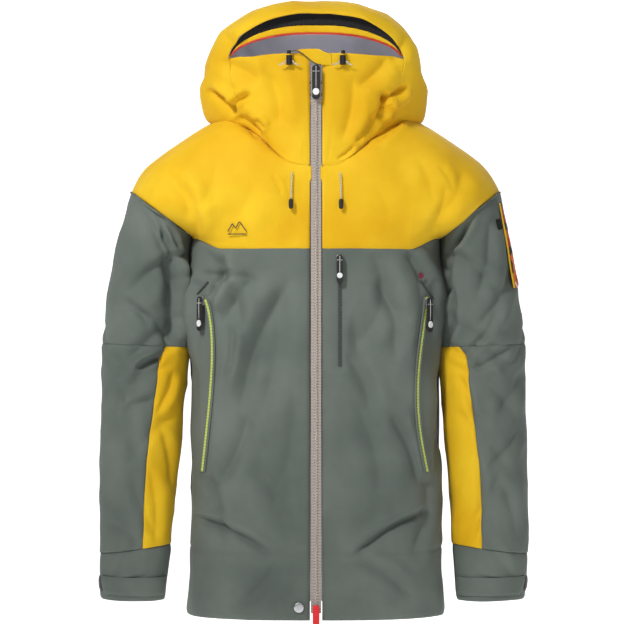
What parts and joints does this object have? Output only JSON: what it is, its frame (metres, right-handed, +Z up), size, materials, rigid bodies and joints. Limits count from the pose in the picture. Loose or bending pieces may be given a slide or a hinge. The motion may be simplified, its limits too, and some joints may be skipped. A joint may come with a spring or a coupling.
{
  "type": "ski jacket",
  "caption": "Hooded shell ski jacket with a yellow yoke and hood, grey body, yellow underarm panels, a full front zip, pocket zips and cuff tabs.",
  "frame": {"origin": "underside of the top strap of the hanger loop at the nape", "axes": "+Z up, -Y towards the front of the jacket, +X to the wearer's left sleeve"},
  "size_m": [0.7042, 0.2827, 1.0037],
  "materials": {
    "grey_shell": "matte",
    "yellow_shell": "matte",
    "black_knit": "matte",
    "zip_tape": "matte",
    "lime_tape": "matte",
    "red_piping": "satin",
    "print_cloth": "matte",
    "cord": "matte",
    "thread": "satin",
    "rubber_pull": "matte",
    "red_pull": "satin",
    "slider_metal": "satin",
    "hard_black": "matte",
    "dark_tape": "matte",
    "dark_red": "satin"
  },
  "bodies": {
    "torso": {"back": "grey_shell", "zip_tape_left": "zip_tape", "zip_tape_right": "zip_tape", "zip_chain": "zip_tape", "side_zip_left_tape": "lime_tape", "side_zip_right_tape": "lime_tape", "chest_zip_tape": "dark_tape", "hem_snap": "slider_metal", "side_zip_dot": "dark_red", "chest_motif": "thread", "hanger_loop": "black_knit", "front_left": "grey_shell", "yoke_front_left": "yellow_shell", "yoke_back_left": "yellow_shell", "collar_left": "yellow_shell", "cord_lock_left": "hard_black", "drawcord_tail_left": "cord", "drawcord_end_left": "rubber_pull", "front_right": "grey_shell", "yoke_front_right": "yellow_shell", "yoke_back_right": "yellow_shell", "collar_right": "yellow_shell", "cord_lock_right": "hard_black", "drawcord_tail_right": "cord", "drawcord_end_right": "rubber_pull"},
    "hood": {"hood_side_left": "yellow_shell", "hood_side_right": "yellow_shell", "hood_back": "yellow_shell", "hood_crown": "yellow_shell", "hood_brim": "yellow_shell", "brim_mesh_band": "black_knit", "hood_piping": "red_piping"},
    "sleeve_left": {"sleeve_upper_left": "grey_shell", "sleeve_lower_left": "grey_shell", "sleeve_underarm_left": "yellow_shell", "cuff_left": "grey_shell", "cuff_patch_left": "hard_black"},
    "tab_left": {"cuff_tab_left": "grey_shell"},
    "lock_button_left": {"cord_lock_button_left": "slider_metal"},
    "sleeve_right": {"sleeve_upper_right": "grey_shell", "sleeve_lower_right": "grey_shell", "sleeve_underarm_right": "yellow_shell", "cuff_right": "grey_shell", "cuff_patch_right": "hard_black", "sleeve_pocket_print": "print_cloth", "sleeve_pocket_tape": "yellow_shell"},
    "tab_right": {"cuff_tab_right": "grey_shell"},
    "lock_button_right": {"cord_lock_button_right": "slider_metal"},
    "zip_top_slider": {"zip_top_slider": "slider_metal"},
    "zip_top_pull": {"zip_top_pull": "rubber_pull"},
    "zip_bottom_slider": {"zip_bottom_slider": "slider_metal"},
    "zip_bottom_pull": {"zip_bottom_pull": "red_pull"},
    "side_zip_left_slider": {"side_zip_left_slider": "slider_metal"},
    "side_zip_left_pull": {"side_zip_left_pull": "rubber_pull"},
    "side_zip_right_slider": {"side_zip_right_slider": "slider_metal"},
    "side_zip_right_pull": {"side_zip_right_pull": "rubber_pull"},
    "chest_zip_slider": {"chest_zip_slider": "slider_metal"},
    "chest_zip_pull": {"chest_zip_pull": "rubber_pull"},
    "sleeve_pocket_slider": {"sleeve_pocket_slider": "rubber_pull"}
  },
  "joints": [
    {"name": "zip_top_run", "type": "slide", "parent": "torso", "child": "zip_top_slider", "axis": [0, -0.0417, -0.9991], "range_m": [0, 0.56]},
    {"name": "zip_top_pull_swing", "type": "hinge", "parent": "zip_top_slider", "child": "zip_top_pull", "pos_m": [0, -0.17675, 0.0131], "axis": [-1, 0, 0], "range_deg": [0, 150]},
    {"name": "zip_bottom_run", "type": "slide", "parent": "torso", "child": "zip_bottom_slider", "axis": [0, 0.0417, 0.9991], "range_m": [0, 0.28]},
    {"name": "zip_bottom_pull_swing", "type": "hinge", "parent": "zip_bottom_slider", "child": "zip_bottom_pull", "pos_m": [0, -0.21287, -0.85315], "axis": [-1, 0, 0], "range_deg": [0, 150]},
    {"name": "side_zip_left_run", "type": "slide", "parent": "torso", "child": "side_zip_left_slider", "axis": [-0.0129, -0.0113, -0.9999], "range_m": [0, 0.245]},
    {"name": "side_zip_left_pull_swing", "type": "hinge", "parent": "side_zip_left_slider", "child": "side_zip_left_pull", "pos_m": [-0.18858, -0.14652, -0.36038], "axis": [-0.6586, 0.7525, 0], "range_deg": [0, 150]},
    {"name": "side_zip_right_run", "type": "slide", "parent": "torso", "child": "side_zip_right_slider", "axis": [0.0137, -0.0137, -0.9998], "range_m": [0, 0.245]},
    {"name": "side_zip_right_pull_swing", "type": "hinge", "parent": "side_zip_right_slider", "child": "side_zip_right_pull", "pos_m": [0.18411, -0.15088, -0.36233], "axis": [-0.7072, -0.707, 0], "range_deg": [0, 150]},
    {"name": "chest_zip_run", "type": "slide", "parent": "torso", "child": "chest_zip_slider", "axis": [0.0012, -0.0415, -0.9991], "range_m": [0, 0.14]},
    {"name": "chest_zip_pull_swing", "type": "hinge", "parent": "chest_zip_slider", "child": "chest_zip_pull", "pos_m": [0.0381, -0.18874, -0.29324], "axis": [-0.9996, -0.0288, 0], "range_deg": [0, 150]},
    {"name": "sleeve_pocket_run", "type": "slide", "parent": "sleeve_right", "child": "sleeve_pocket_slider", "axis": [0.2437, -0.0104, -0.9698], "range_m": [0, 0.08]},
    {"name": "shoulder_left", "type": "hinge", "parent": "torso", "child": "sleeve_left", "pos_m": [-0.307, -0.065, -0.186], "axis": [0, 1, 0], "range_deg": [0, 70]},
    {"name": "tab_left_open", "type": "hinge", "parent": "sleeve_left", "child": "tab_left", "pos_m": [-0.24603, -0.10483, -0.83275], "axis": [0, 0, 1], "range_deg": [0, 60]},
    {"name": "lock_left_press", "type": "slide", "parent": "torso", "child": "lock_button_left", "axis": [-0.0004, -0.0085, -1], "range_m": [0, 0.0025], "stiffness_N_per_m": 150, "springref_m": -0.0008},
    {"name": "shoulder_right", "type": "hinge", "parent": "torso", "child": "sleeve_right", "pos_m": [0.307, -0.065, -0.186], "axis": [0, -1, 0], "range_deg": [0, 70]},
    {"name": "tab_right_open", "type": "hinge", "parent": "sleeve_right", "child": "tab_right", "pos_m": [0.2293, -0.10484, -0.83265], "axis": [0, 0, -1], "range_deg": [0, 60]},
    {"name": "lock_right_press", "type": "slide", "parent": "torso", "child": "lock_button_right", "axis": [0.0004, -0.0085, -1], "range_m": [0, 0.0025], "stiffness_N_per_m": 150, "springref_m": -0.0008},
    {"name": "hood_fold", "type": "hinge", "parent": "torso", "child": "hood", "pos_m": [0, 0.015, -0.178], "axis": [-1, 0, 0], "range_deg": [0, 55]}
  ]
}
